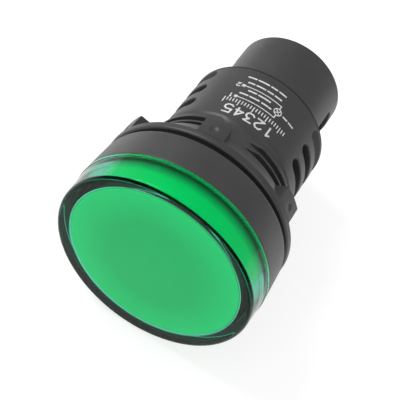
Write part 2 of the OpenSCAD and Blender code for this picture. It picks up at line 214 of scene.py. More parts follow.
# one material or world and the single way in which its nodes are added
class Look:
    def __init__(self, block):
        block.use_nodes = True
        self.block, self.tree = block, block.node_tree
        self.tree.nodes.clear()

    def add(self, kind, settings=None, sockets=None, output=0):
        node = self.tree.nodes.new(kind)
        for key, value in (settings or {}).items():
            if key == "stops":
                while len(node.color_ramp.elements) < len(value):
                    node.color_ramp.elements.new(0.5)
                for element, (place, colour) in zip(node.color_ramp.elements, value):
                    element.position, element.color = place, colour
            else:
                setattr(node, key, value)
        for key, value in (sockets or {}).items():
            if isinstance(value, Wire):
                self.tree.links.new(value.socket, node.inputs[key])
            else:
                node.inputs[key].default_value = value
        return Wire(self, node.outputs[output]) if node.outputs else None

    def place(self):
        return self.add("ShaderNodeTexCoord", output="Object")

    def axes(self):
        across = self.add("ShaderNodeSeparateXYZ", None, {"Vector": self.place()}, "X")
        return across, across.beside("Y"), across.beside("Z")

    def noise(self, size, detail=2.0, stretch=(1, 1, 1), roughness=0.5):
        spot = self.add("ShaderNodeMapping", None, {"Vector": self.place(), "Scale": stretch})
        sockets = {"Vector": spot, "Scale": 1 / (size * mm), "Detail": detail, "Roughness": roughness}
        return self.add("ShaderNodeTexNoise", {"noise_dimensions": "3D"}, sockets)

    # sockets 6 and 7 take the two colours, and output 2 gives the mixed one
    def mix(self, share, first, second):
        return self.add("ShaderNodeMix", {"data_type": "RGBA"}, {0: share, 6: first, 7: second}, 2)

    def bump(self, height, distance, strength=1.0, normal=None):
        sockets = {"Height": height, "Distance": distance * mm, "Strength": strength}
        if normal:
            sockets["Normal"] = normal
        return self.add("ShaderNodeBump", None, sockets)

    def finish(self, shader, output="ShaderNodeOutputMaterial", depth=None):
        self.add(output, None, {"Surface": shader, "Volume": depth} if depth else {"Surface": shader})
        return self.block


def newLook(name):
    return Look(bpy.data.materials.new(name))


def tone(red, green, blue):
    return (red, green, blue, 1.0)


# satin moulded plastic: spark-eroded grain, faint flow mottle and a touch of rubbed sheen
def mouldedPlastic(name, base, rubbed, roughness=0.42, grain=0.16, grainDepth=0.012):
    look = newLook(name)
    mottle = look.noise(7.0, 3.0)
    flow = look.noise(2.2, 4.0, (1, 0.35, 1))
    fine = look.noise(grain, 2.0)
    colour = look.mix(smoothRamp(look, mottle, 0.35, 0.7), base, rubbed)
    rough = roughness + 0.10 * (flow - 0.5) + 0.06 * (fine - 0.5)
    normal = look.bump(fine, grainDepth, 0.6, look.bump(flow, 0.02, 0.25))
    sockets = {"Base Color": colour, "Roughness": rough, "Normal": normal, "IOR": 1.5}
    return look.finish(look.add("ShaderNodeBsdfPrincipled", None, sockets))


# 0 up to low and 1 from high on, or the other way round where low is the greater
def smoothRamp(look, value, low, high):
    stops = sorted([(low, tone(0, 0, 0)), (high, tone(1, 1, 1))])
    return look.add("ShaderNodeValToRGB", {"stops": stops}, {"Fac": value})


# matt rubber with a soft bloom
def mattRubber(name):
    look = newLook(name)
    bloom = look.noise(1.6, 4.0)
    fine = look.noise(0.12, 2.0)
    colour = look.mix(smoothRamp(look, bloom, 0.4, 0.75), tone(0.002, 0.002, 0.002), tone(0.006, 0.006, 0.006))
    sockets = {"Base Color": colour, "Roughness": 0.72 + 0.2 * (bloom - 0.5), "Specular IOR Level": 0.12,
               "Normal": look.bump(fine, 0.02, 0.5)}
    return look.finish(look.add("ShaderNodeBsdfPrincipled", None, sockets))


# clear tinted plastic: its surface takes a light tint, and its depth takes away what isn't green
def clearPlastic(name, tint, depthTint, density, shine, roughness=0.015, ior=1.49):
    look = newLook(name)
    waves = look.noise(9.0, 1.0)
    haze = look.noise(3.0, 3.0)
    sockets = {"Base Color": tint, "Roughness": roughness + 0.015 * haze, "IOR": ior,
               "Transmission Weight": 1.0, "Specular Tint": shine, "Normal": look.bump(waves, 0.01, 0.35)}
    depth = look.add("ShaderNodeVolumeAbsorption", None, {"Color": depthTint, "Density": density})
    return look.finish(look.add("ShaderNodeBsdfPrincipled", None, sockets), depth=depth)


# frosted cup: a painted highlight makes its face brighter towards the rim and deeper in the middle, with a fine
# frost; the skirt is bright in its middle and has painted shade towards both ends, next to the face's edge and the
# bezel; a painted glow gives the cup emission of its own colour
def frostedPlastic(name, size, middle, rim, skirt, paintedShade, paintedGlow):
    look = newLook(name)
    across, along, upward = look.axes()
    radius = (across * across + upward * upward) ** 0.5 * (1 / (size["radius"] * mm))
    cloud = look.noise(14.0, 2.0)
    fine = look.noise(0.2, 2.0)
    # painted highlight: the rim tone lightens the outer part of the face
    face = look.mix(smoothRamp(look, radius + 0.10 * (cloud - 0.5), 0.55, 1.0), middle, rim)
    share = (along - size["front"] * mm) * (1 / (size["shown"] * mm))
    # painted shade: the skirt darkens towards the face's edge and towards the bezel
    side = look.add("ShaderNodeValToRGB", {"stops": [(0.0, paintedShade), (0.16, skirt), (0.6, skirt), (1.0, paintedShade)]},
                    {"Fac": share})
    colour = look.mix(smoothRamp(look, radius, 0.98, 0.99), face, side)
    # painted glow: emission in the cup's own colour, though the cup is no lamp
    sockets = {"Base Color": colour, "Roughness": 0.6 + 0.1 * (fine - 0.5), "Specular IOR Level": 0.0,
               "Emission Color": colour, "Emission Strength": paintedGlow, "Normal": look.bump(fine, 0.003, 0.12)}
    return look.finish(look.add("ShaderNodeBsdfPrincipled", None, sockets))


# plated or brushed metal: fine scratches along one way and a cloudy dullness
def platedMetal(name, base, dull, roughness, stretch=(1, 1, 1)):
    look = newLook(name)
    cloud = look.noise(1.8, 3.0)
    scratch = look.noise(0.25, 3.0, stretch)
    colour = look.mix(smoothRamp(look, cloud, 0.35, 0.7), base, dull)
    sockets = {"Base Color": colour, "Metallic": 1.0, "Roughness": roughness + 0.16 * (scratch - 0.5),
               "Normal": look.bump(scratch, 0.01, 0.4)}
    return look.finish(look.add("ShaderNodeBsdfPrincipled", None, sockets))


# lacquered or dipped surface: a clear skin over a slightly uneven colour
def lacquered(name, base, deep, roughness=0.35, skin=0.5, size=1.5):
    look = newLook(name)
    cloud = look.noise(size, 3.0)
    colour = look.mix(smoothRamp(look, cloud, 0.35, 0.7), base, deep)
    sockets = {"Base Color": colour, "Roughness": roughness + 0.12 * (cloud - 0.5), "Coat Weight": skin,
               "Coat Roughness": 0.12, "Normal": look.bump(cloud, 0.02, 0.3)}
    return look.finish(look.add("ShaderNodeBsdfPrincipled", None, sockets))


# circuit board: traces run one way or the other on a grid under the solder mask, as a coarse cloud says
def circuitBoard(name, mask, trace, first, second, pitch=1.27):
    look = newLook(name)
    axes = look.axes()
    cloud = look.noise(4.0, 1.0)
    tracks = [smoothRamp(look, (axes[number] * (1 / (pitch * mm))).fromMiddle(), 0.16, 0.12)
              for number in (first, second)]
    share = smoothRamp(look, cloud, 0.49, 0.51)
    lit = tracks[0] * share + tracks[1] * (1 - share)
    wear = look.noise(0.6, 3.0)
    sockets = {"Base Color": look.mix(lit, mask, trace), "Roughness": 0.34 + 0.1 * (wear - 0.5),
               "Coat Weight": 0.4, "Normal": look.bump(lit, 0.03, 0.8)}
    return look.finish(look.add("ShaderNodeBsdfPrincipled", None, sockets))


# resistor: lacquer with colour bands along its length
def bandedLacquer(name, ground, bands, start, length):
    look = newLook(name)
    _, _, upward = look.axes()
    cloud = look.noise(0.7, 3.0)
    stops = [(0.0, ground)]
    for place, band in bands:
        stops += [(place - 0.045, ground), (place - 0.035, band), (place + 0.035, band), (place + 0.045, ground)]
    share = (upward - start * mm) * (1 / (length * mm))
    colour = look.add("ShaderNodeValToRGB", {"stops": stops}, {"Fac": share})
    sockets = {"Base Color": colour, "Roughness": 0.36 + 0.12 * (cloud - 0.5), "Coat Weight": 0.5,
               "Normal": look.bump(cloud, 0.02, 0.4)}
    return look.finish(look.add("ShaderNodeBsdfPrincipled", None, sockets))


# printed ink: slightly worn white
def printedInk(name):
    look = newLook(name)
    wear = look.noise(0.3, 4.0)
    colour = look.mix(smoothRamp(look, wear, 0.3, 0.6), tone(0.45, 0.45, 0.45), tone(0.74, 0.74, 0.74))
    sockets = {"Base Color": colour, "Roughness": 0.5 + 0.15 * (wear - 0.5)}
    return look.finish(look.add("ShaderNodeBsdfPrincipled", None, sockets))


housingPlastic = mouldedPlastic("satin black moulding", tone(0.030, 0.029, 0.029), tone(0.040, 0.038, 0.038))
nutPlastic = mouldedPlastic("satin black nut", tone(0.026, 0.026, 0.026), tone(0.034, 0.033, 0.033))
basePlastic = mouldedPlastic("satin black base", tone(0.028, 0.028, 0.028), tone(0.038, 0.038, 0.038), 0.5)
sealRubber = mattRubber("black rubber")
lensPlastic = clearPlastic("clear green", tone(0.58, 0.9, 0.8), tone(0.01, 0.76, 0.62), 400,
                           tone(0.05, 0.1, 0.1))
whiteInk = printedInk("white print")
platedSteel = platedMetal("zinc plated steel", tone(0.66, 0.67, 0.68), tone(0.5, 0.5, 0.5), 0.3)
platedBrass = platedMetal("nickel plated brass", tone(0.72, 0.66, 0.5), tone(0.55, 0.5, 0.38), 0.32, (1, 6, 1))
giltPin = platedMetal("gilt pin", tone(0.83, 0.62, 0.25), tone(0.66, 0.48, 0.2), 0.28, (1, 0.3, 1))
whiteBoard = circuitBoard("white lamp board", tone(0.62, 0.63, 0.6), tone(0.7, 0.7, 0.66), 0, 2, 2.54)
greenBoard = circuitBoard("green driver board", tone(0.01, 0.08, 0.035), tone(0.02, 0.14, 0.06), 1, 2)
lampEpoxy = lacquered("green lamp epoxy", tone(0.03, 0.36, 0.13), tone(0.05, 0.48, 0.2), 0.16, 1.0)
redCase = lacquered("red capacitor case", tone(0.36, 0.035, 0.025), tone(0.27, 0.025, 0.02), 0.38)
blueSleeve = lacquered("blue capacitor sleeve", tone(0.012, 0.02, 0.09), tone(0.02, 0.03, 0.13), 0.3)
blackEpoxy = mouldedPlastic("black epoxy", tone(0.018, 0.018, 0.019), tone(0.03, 0.03, 0.03), 0.55, 0.1)
redInsulation = lacquered("red insulation", tone(0.42, 0.02, 0.018), tone(0.34, 0.016, 0.014), 0.45, 0.15, 0.8)
greyInsulation = lacquered("grey insulation", tone(0.2, 0.2, 0.2), tone(0.15, 0.15, 0.15), 0.45, 0.15, 0.8)
resistorLow, resistorHigh = nodeBox("resistors")
resistorBands = [(0.2, tone(0.12, 0.05, 0.02)), (0.38, tone(0.02, 0.02, 0.02)), (0.56, tone(0.3, 0.03, 0.02)),
                 (0.8, tone(0.45, 0.3, 0.08))]
resistorLacquer = bandedLacquer("banded resistor lacquer", tone(0.52, 0.4, 0.26), resistorBands,
                                resistorLow[2], resistorHigh[2] - resistorLow[2])
print("materials made")


# ---- housing

lensLow, lensHigh = nodeBox("lens")
housingLow, housingHigh = nodeBox("housing")
gasketLow, gasketHigh = nodeBox("gasket")
nutLow, nutHigh = nodeBox("mounting_nut")
diffuserLow, diffuserHigh = nodeBox("diffuser")
baseLow, baseHigh = nodeBox("terminal_base")

housing = {
    "headRadius": housingHigh[0],       # front of the bezel
    "rearRadius": housingHigh[0] - 0.5,
    "socketRadius": 18.4,               # takes the lens spigot
    "pocketRadius": diffuserHigh[0] + 0.1,
    "bezelFront": housingLow[1],
    "sealSeat": -4.4,
    "cupFloor": diffuserHigh[1],
    "threadRadius": 14.8,
    "threadDepth": 0.9,
    "threadPitch": 1.6,
    "threadCrest": 0.4,
    "threadFlank": 0.25,
    "threadStart": 2.3,                 # end of the plain pilot behind the bezel
    "lastRidge": 11.1,                  # middle of the last ridge at the top
    "threadEnd": 13.2,
    "flatHeight": 13.7,                 # flats at the thread's top and bottom
    "bodyRadius": 14.1,
    "boreRadius": 12.3,
    "boreEnd": 26.6,
    "bodyEnd": 28.4,
    "shoulderRadius": 0.8,
    "tailRadius": 11.1,
    "tailBore": baseHigh[0] + 0.1,
    "tailEnd": housingHigh[1],
    "baseSeat": baseLow[1],
    "lipRadius": 9.0,
    "bevel": 0.6,
    "roundSteps": 4,                    # points on each round of the outline
}
vents = {
    "centres": [17.2, 21.6, 26.0],
    "outer": [15.0, 19.4, 23.8, 27.5],  # borders of the cells that hold the slots
    "inner": [15.0, 19.4, 23.8, 26.35],
    "halfWidth": 1.15,
    "halfAngle": 40,                    # overall, round ends included
    "cellAngle": 46,
    "rim": 0.22,                        # round of the slot's edge
    "segments": 6,
}
windows = {
    "cell": [31.6, 40.4],
    "place": [33.0, 39.0],
    "halfWidth": 3.2,
    "corner": 0.8,
    "cellAngle": 22,
    "rim": 0.18,
    "segments": 12,
}


# a ridge that climbs one pitch a turn: its height is a soft trapezium of the distance from its middle.
# Flats at the top and bottom cut it, and behind the last turn the plain root rises to the body.
def threadRadiusAt(angle, place, size=housing):
    root = size["threadRadius"] - size["threadDepth"]
    turns = (place - size["lastRidge"]) / size["threadPitch"] - angle / 360
    away = np.where(turns < 0.5, np.abs((turns + 0.5) % 1 - 0.5), 0.5) * size["threadPitch"]
    ridge = smoothStep((size["threadCrest"] / 2 + size["threadFlank"] - away) / size["threadFlank"])
    height = np.abs(np.cos(np.radians(angle)))
    radius = np.minimum(root + size["threadDepth"] * ridge, size["flatHeight"] / np.maximum(height, 1e-3))
    pilot = smoothStep((size["threadStart"] + 0.15 - place) / 0.3)
    radius = radius + (size["threadRadius"] - radius) * pilot
    ease = 0.3 + 1.6 * smoothStep((height - 0.95) / 0.05)
    rise = smoothStep((place - size["threadEnd"] - 0.2 + ease) / ease)
    return radius + (size["bodyRadius"] - radius) * rise


# rows that follow the ridge: each pitch has the same rows, close together on the flanks
def threadPatch(start, end, size=housing):
    half = size["threadCrest"] / 2
    flank = half + size["threadFlank"] * np.array([0.08, 0.5, 0.92])
    share = np.concatenate([[-0.5 * size["threadPitch"]], -flank[::-1], [0], flank])
    pitches = np.arange(floor((start - size["lastRidge"]) / size["threadPitch"]) - 1,
                        ceil((end - size["lastRidge"]) / size["threadPitch"]) + 1)
    rows = (size["lastRidge"] + pitches[:, None] * size["threadPitch"] + share[None, :]).reshape(1, -1)
    angle = np.arange(-180, 181)[:, None]
    place = np.clip(rows + angle / 360 * size["threadPitch"], start, end)
    return gridPatch(onAxis(angle, threadRadiusAt(angle, place), place))


# rows of a plain band between two places at one radius, without the cells' angles
def plainBand(radius, places, cellAngle):
    patches = []
    for centre in (90, 270):
        angle = np.arange(centre + cellAngle, centre + 180 - cellAngle + 1)
        patches.append(gridPatch(onAxis(angle[:, None], radius, np.array(places)[None, :])))
    return patches


# border of a cell as (angle from its middle, place), once round, on the whole-degree grid
def cellBorder(cellAngle, low, high, segments):
    along = np.arange(-cellAngle, cellAngle)
    up = np.linspace(low, high, segments + 1)[:-1]
    return np.concatenate([
        np.stack([along, np.full(len(along), low)], axis=1),
        np.stack([np.full(segments, cellAngle), up], axis=1),
        np.stack([-along, np.full(len(along), high)], axis=1),
        np.stack([np.full(segments, -cellAngle), high + low - up], axis=1)])


# round-cornered opening whose points follow a cell's border: points on the long borders go to the
# straight sides, and those on the short borders share out between the short side and the corners
def openingOutline(border, cellAngle, middle, halfHeight, halfLength, corner, straight):
    low, high = border[:, 1].min(), border[:, 1].max()
    across = border[:, 0] / cellAngle
    upward = (border[:, 1] - (low + high) / 2) / ((high - low) / 2)
    onEnd = np.abs(across) > 0.9999
    bend = np.clip((np.abs(upward) - straight) / max(1 - straight, 1e-6), 0, 1)
    angle = np.where(onEnd, pi / 2 * bend, pi / 2) * np.sign(upward)
    reach = np.where(onEnd, np.sign(upward) * np.clip(np.abs(upward) / max(straight, 1e-6), 0, 1),
                     np.sign(upward))
    x = across * (halfLength - corner) + np.where(onEnd, np.sign(across), 0) * corner * np.cos(angle)
    y = reach * (halfHeight - corner) + corner * np.sin(angle)
    return x, y + middle


# one opening with its share of the outer and inner surface. Rows run from the outer border to the
# opening, round its rim, through the wall, round the inner rim and out to the inner border.
def openingPatch(centre, cellAngle, outerCell, innerCell, outerHole, innerHole, corner, rim, segments,
                 straight, outerRadius, innerRadius, toAngle):
    borders = [cellBorder(cellAngle, cell[0], cell[1], segments) for cell in (outerCell, innerCell)]
    bend = np.linspace(0, pi / 2, 5)
    spread = np.array([1.0, 0.55, 0.25, 0.08])
    radius = np.concatenate([np.full(4, outerRadius), outerRadius - rim * (1 - np.cos(bend)),
                             innerRadius + rim * (1 - np.sin(bend)), np.full(4, innerRadius)])
    grow = np.concatenate([np.full(4, rim), rim * (1 - np.sin(bend)), rim * (1 - np.cos(bend)),
                           np.full(4, rim)])
    blend = np.concatenate([spread, np.zeros(10), spread[::-1]])
    inside = np.concatenate([np.zeros(9), np.ones(9)])
    rows = []
    for rowRadius, rowGrow, rowBlend, rowInside in zip(radius, grow, blend, inside):
        border = borders[int(rowInside)]
        hole = innerHole if rowInside else outerHole
        halfHeight = (hole[1] - hole[0]) / 2 + rowGrow
        x, y = openingOutline(border, cellAngle, (hole[0] + hole[1]) / 2, halfHeight, hole[2] + rowGrow,
                              min(corner + rowGrow, halfHeight), straight)
        angle = rowBlend * border[:, 0] + (1 - rowBlend) * toAngle(x, rowRadius)
        place = rowBlend * border[:, 1] + (1 - rowBlend) * y
        rows.append(onAxis(centre + angle, rowRadius, place))
    return gridPatch(np.stack(rows), closedColumns=True)


def buildHousing(size, vents, windows):
    angle = np.arange(turn)[:, None]
    front = roundOutline([
        (size["boreRadius"], vents["inner"][0], 0), (size["boreRadius"], size["cupFloor"], 0.3),
        (size["pocketRadius"], size["cupFloor"], 0.3), (size["pocketRadius"], size["sealSeat"], 0.15),
        (size["socketRadius"], size["sealSeat"], 0.2), (size["socketRadius"], size["bezelFront"], 0.15),
        (size["headRadius"], size["bezelFront"], 0.18), (size["rearRadius"], 0, 0.7),
        (size["threadRadius"], 0, 0.15), (size["threadRadius"], size["threadStart"] - 0.2, 0)],
        size["roundSteps"], closed=False)
    collar = np.array([size["threadEnd"] + 0.3, vents["outer"][0]])
    patches = [gridPatch(onAxis(angle, front[:, 0], front[:, 1]), closedRows=True)]
    patches.append(threadPatch(size["threadStart"] - 0.2, collar[0]))
    patches.append(gridPatch(onAxis(angle, size["bodyRadius"], collar), closedRows=True))

    # vented body
    cuts = {}
    for side in ("outer", "inner"):
        borders = vents[side]
        cuts[side] = np.concatenate([np.linspace(low, high, vents["segments"] + 1)
                                     for low, high in zip(borders[:-1], borders[1:])])
    patches += plainBand(size["bodyRadius"], cuts["outer"], vents["cellAngle"])
    patches += plainBand(size["boreRadius"], cuts["inner"], vents["cellAngle"])
    halfLength = radians(vents["halfAngle"]) * size["bodyRadius"]
    for centre in (90, 270):
        for number, middle in enumerate(vents["centres"]):
            low, high = middle - vents["halfWidth"], middle + vents["halfWidth"]
            innerHigh = min(high, vents["inner"][-1] - 0.25)
            patches.append(openingPatch(
                centre, vents["cellAngle"], vents["outer"][number:number + 2],
                vents["inner"][number:number + 2], (low, high, halfLength), (low, innerHigh, halfLength),
                vents["halfWidth"], vents["rim"], vents["segments"], 0,
                size["bodyRadius"], size["boreRadius"],
                lambda x, radius: np.degrees(x / size["bodyRadius"])))

    # shoulder and tail
    shoulder = roundOutline([
        (size["bodyRadius"], vents["outer"][-1], 0), (size["bodyRadius"], size["bodyEnd"], size["shoulderRadius"]),
        (size["tailRadius"], size["bodyEnd"], 0.3), (size["tailRadius"], windows["cell"][0], 0)],
        size["roundSteps"], closed=False)
    rim = roundOutline([
        (size["tailRadius"], windows["cell"][1], 0), (size["tailRadius"], size["tailEnd"] - size["bevel"], 0.2),
        (size["tailRadius"] - size["bevel"], size["tailEnd"], 0.15), (size["tailBore"], size["tailEnd"], 0.15),
        (size["tailBore"], windows["cell"][1], 0)], size["roundSteps"], closed=False)
    seat = roundOutline([
        (size["tailBore"], windows["cell"][0], 0), (size["tailBore"], size["baseSeat"], 0.1),
        (size["lipRadius"], size["baseSeat"], 0.1), (size["lipRadius"], size["boreEnd"], 0.1),
        (size["boreRadius"], size["boreEnd"], 0.1), (size["boreRadius"], vents["inner"][-1], 0)],
        size["roundSteps"], closed=False)
    for outline in (shoulder, rim, seat):
        patches.append(gridPatch(onAxis(angle, outline[:, 0], outline[:, 1]), closedRows=True))
    cell = windows["cell"]
    cellPlaces = np.linspace(cell[0], cell[1], windows["segments"] + 1)
    hole = (*windows["place"], windows["halfWidth"])
    for radius in (size["tailRadius"], size["tailBore"]):
        patches += plainBand(radius, cellPlaces, windows["cellAngle"])
    for centre in (90, 270):
        patches.append(openingPatch(
            centre, windows["cellAngle"], cell, cell, hole, hole, windows["corner"], windows["rim"],
            windows["segments"], 0.6, size["tailRadius"], size["tailBore"],
            lambda x, radius: np.degrees(np.arcsin(x / radius))))
    return patches


makePiece("housing_shell", buildHousing(housing, vents, windows), "housing",
          housingPlastic, ["housing"])

boardLow, boardHigh = nodeBox("driver_board")
guides = {
    "width": 1.0,
    "gap": 0.15,            # beside the board
    "depth": 1.6,           # overlap with the board's edge
    "sunk": 0.4,            # root in the bore's wall
    "edge": 0.12,
}


# a convex outline in X and Z carried along Y and closed at both ends in a fan
def bar(outline, start, end):
    middle = outline.mean(axis=0)
    rings = np.stack([np.broadcast_to(middle, outline.shape), outline, outline,
                      np.broadcast_to(middle, outline.shape)])
    places = np.array([start, start, end, end])[:, None]
    return gridPatch(np.stack([rings[..., 0], np.broadcast_to(places, rings.shape[:2]), rings[..., 1]], axis=-1),
                     closedColumns=True)


# four ribs in the bore hold the board's edges: rounded bars that stand in the wall
def buildGuides(size, low, high):
    bars = []
    for side, edge in ((-1, low[0]), (1, high[0])):
        near, far = edge + side * size["gap"], edge + side * (size["gap"] + size["width"])
        root = np.sqrt(housing["boreRadius"] ** 2 - far ** 2) + size["sunk"]
        inner = high[2] - size["depth"]
        for up in (-1, 1):
            corners = [(near, up * inner), (far, up * inner), (far, up * root), (near, up * root)]
            outline = roundOutline([(x, z, size["edge"]) for x, z in corners], steps=5)
            bars.append(bar(outline, housing["cupFloor"] + 0.02, housing["boreEnd"] + 0.3))
    return bars


makePiece("board_guides", buildGuides(guides, boardLow, boardHigh), "housing",
          housingPlastic, ["housing"])
print("housing made")


# ---- print on the body: plain numerals, a scale, dashes and a lamp symbol with its two leads

marks = {
    "ink": 0.03,            # thickness
    "longest": 0.8,         # longest straight run round the body
    "stroke": 0.2,
    "bold": 0.34,
    "numeral": (1.5, 2.2),
    "small": (0.65, 1.0),
    "numeralPitch": 2.2,
    "numeralRow": 16.7,     # foot of the large numerals along Y
    "scaleRow": 18.5,
    "scale": (-6.2, 7.2, 23),       # first tick, last tick and how many, round the body from the top
    "leads": (19.3, 22.7),
    "leadSpan": (-4.5, 3.7),
    "lamp": (3.8, 21.0, 0.8),       # middle and radius of the lamp symbol
    "dashes": [(20.5, (-4.2, -2.6), (-2.1, -0.2), (0.4, 2.4)), (21.8, (-3.0, -1.4), (-0.9, 1.6)),
               (23.9, (-4.0, -2.8), (-2.3, -0.5), (0.0, 1.2), (1.7, 3.1)),
               (25.4, (-4.7, -3.1), (-2.6, -0.4), (0.1, 1.4), (1.9, 3.4)), (21.0, (5.2, 6.2), (6.7, 7.9))],
}
numerals = {
    "1": [(0.15, 0.8), (0.55, 1), (0.55, 0)],
    "2": [(0, 0.8), (0.25, 1), (0.75, 1), (1, 0.8), (1, 0.62), (0, 0), (1, 0)],
    "3": [(0, 1), (1, 1), (0.45, 0.58), (0.75, 0.58), (1, 0.42), (1, 0.18), (0.75, 0), (0.25, 0), (0, 0.16)],
    "4": [(0.75, 0), (0.75, 1), (0, 0.32), (1, 0.32)],
    "5": [(1, 1), (0.1, 1), (0, 0.55), (0.75, 0.58), (1, 0.42), (1, 0.18), (0.75, 0), (0.25, 0), (0, 0.14)],
}


def polyline(points, width):
    points = np.array(points, float)
    return [(*start, *end, width) for start, end in zip(points[:-1], points[1:])]


# a numeral reads towards -X with its top towards the lens; start is its left foot
def numeral(name, start, foot, size, width):
    shape = np.array(numerals[name])
    return polyline(np.array([start, foot]) - shape * np.array(size), width)


# a stroke as a closed ribbon that lies on the body: middle line, width and ink carried round the axis
def ribbon(stroke, radius, size):
    start, end, width = np.array(stroke[:2]), np.array(stroke[2:4]), stroke[4]
    length = np.linalg.norm(end - start)
    along = (end - start) / length
    across = np.array([-along[1], along[0]]) * width / 2
    line = np.linspace(start - along * width / 3, end + along * width / 3, 2 + int(length / size["longest"]))
    line = np.concatenate([line[:1], line, line[-1:]])
    side = np.array([-1, -1, 1, 1])[None, :, None] * np.concatenate([[0], np.ones(len(line) - 2), [0]])[:, None, None]
    spot = line[:, None] + side * across
    height = radius + size["ink"] * np.array([-1, 1, 1, -1])
    return gridPatch(onAxis(np.degrees(spot[..., 0] / radius), height, spot[..., 1]), closedColumns=True)


def buildMarks(size, radius):
    strokes = []
    for number, name in enumerate("12345"):
        start = size["numeralPitch"] * (2 - number) + size["numeral"][0] / 2 + 0.2
        strokes += numeral(name, start, size["numeralRow"], size["numeral"], size["bold"])
    for number, place in enumerate(np.linspace(*size["scale"])):
        tall = 1.4 if number % 5 == 0 else 0.8
        strokes.append((place, size["scaleRow"], place, size["scaleRow"] - tall, size["stroke"]))
    middle, level, reach = size["lamp"]
    ring = np.radians(np.arange(0, 361, 20))
    strokes += polyline(np.stack([middle + reach * np.cos(ring), level + reach * np.sin(ring)], axis=1),
                        size["stroke"])
    arm = reach * 0.7
    strokes += [(middle - arm, level - arm, middle + arm, level + arm, size["stroke"]),
                (middle - arm, level + arm, middle + arm, level - arm, size["stroke"])]
    for name, lead, way in zip("12", size["leads"], (-1, 1)):
        near, far = size["leadSpan"]
        strokes += polyline([(near, lead), (far + 0.1, lead), (far + 0.1, level + way * reach)], size["stroke"])
        strokes.append((near - 0.1, lead, near + 0.1, lead, 2 * size["bold"]))
        strokes += numeral(name, near - 0.7, lead + size["small"][1] / 2, size["small"], size["stroke"])
    for level, *spans in size["dashes"]:
        strokes += [(start, level, end, level, size["bold"]) for start, end in spans]
    return [ribbon(stroke, radius, size) for stroke in strokes]


makePiece("body_marks", buildMarks(marks, housing["bodyRadius"]), "housing", whiteInk)
print("print made")


# ---- gasket and nut

gasket = {"inner": 14.9, "outer": gasketHigh[0], "front": gasketLow[1], "rear": gasketHigh[1]}
makePiece("gasket_ring", [turned(roundOutline([
    (gasket["inner"], gasket["front"], 0.1), (gasket["outer"], gasket["front"], 0.25),
    (gasket["outer"], gasket["rear"], 0.25), (gasket["inner"], gasket["rear"], 0.1)]))],
    "housing", sealRubber, ["gasket"])

nut = {
    "bore": 14.9,
    "radius": nutHigh[0],
    "front": nutLow[1],
    "flange": 1.6,          # thickness of the flange's edge
    "edge": 0.5,
    "hubRadius": 15.4,
    "hubLength": 5.3,
    "lugRadius": nutHigh[0] - 0.2,
    "lugSlope": 0.1,
    "lugLength": 4.2,
    "lugTip": 0.9,
    "lugs": 6,
    "lugAngle": 15.5,
    "lugTurn": -8,
    "flank": 0.5,           # angle over which a lug's side rises
    "flankSteps": 7,
    "faceSteps": 33,
    "step": 0.3,            # longest side of a face along the outline
    "dimple": 0.8,          # radius of the hollow in a lug's face
    "dimpleDepth": 0.22,
    "dimplePlace": 4.1,
}


# the same number of extra points goes into both outlines, so that no side is longer than the step
def finer(outlines, step):
    longest = np.max([np.linalg.norm(np.diff(outline, axis=0), axis=1) for outline in outlines], axis=0)
    counts = np.maximum(np.ceil(longest / step), 1).astype(int)
    spots = np.concatenate([number + np.arange(count) / count for number, count in enumerate(counts)])
    index = np.arange(len(longest) + 1)
    spots = np.append(spots, index[-1])
    return [np.stack([np.interp(spots, index, outline[:, 0]), np.interp(spots, index, outline[:, 1])], axis=1)
            for outline in outlines]


# the outline between two lugs and the one through a lug have as many points; each angle takes a share
# of both, and the share rises steeply at a lug's sides
def buildNut(size):
    seat = size["front"] + size["flange"]
    lugBack = seat + size["lugLength"]
    hubBack = seat + size["hubLength"]
    foot, rise = size["radius"] - size["edge"], (size["radius"] - size["edge"] - size["hubRadius"]) / 3
    common = [(size["bore"], size["front"], 0.2), (size["radius"] - 0.02, size["front"], size["edge"]),
              (size["radius"], seat, 0.2)]
    hub = [(size["hubRadius"], hubBack, 0.15), (size["bore"], hubBack, 0.1)]
    cone = [(foot - rise * step, seat + size["hubLength"] / 3 * step, 0) for step in (1, 2)]
    gap = roundOutline(common + [(foot, seat, 0.08)] + cone + hub)
    lug = roundOutline(common + [
        (size["lugRadius"], seat, 0.08), (size["lugRadius"] - size["lugSlope"], lugBack, 0.3),
        (size["hubRadius"] + 0.05, lugBack + size["lugTip"], 0.08)] + hub)
    gap, lug = finer((gap, lug), size["step"])
    half, pitch = size["lugAngle"] / 2, 360 / size["lugs"]
    side = size["flank"] * (np.linspace(0, 1, size["flankSteps"]) - 0.5)
    face = np.linspace(size["flank"] - half, half - size["flank"], size["faceSteps"])
    free = np.linspace(half + size["flank"], pitch - half - size["flank"], 20)
    oneLug = np.concatenate([side - half, face, side + half, free])
    onLug = smoothStep((half + size["flank"] / 2 - np.abs(oneLug)) / size["flank"])
    weight = onLug[:, None, None]
    outline = (1 - weight) * gap[None] + weight * lug[None]
    radius, place = outline[..., 0], outline[..., 1]
    away = np.hypot(np.radians(oneLug)[:, None] * radius, place - size["dimplePlace"]) / size["dimple"]
    hollow = np.sqrt(np.clip(1 - away ** 2, 0, 1)) * (radius > size["lugRadius"] - size["lugSlope"] - 0.01)
    radius = radius - size["dimpleDepth"] * hollow
    patches = []
    for number in range(size["lugs"]):
        angle = size["lugTurn"] + oneLug[:, None] + pitch * number
        patches.append(onAxis(angle, radius, place))
    return [gridPatch(np.concatenate(patches), closedRows=True, closedColumns=True)]


makePiece("lugged_nut", buildNut(nut), "nut", nutPlastic, ["mounting_nut"])
print("gasket and nut made")
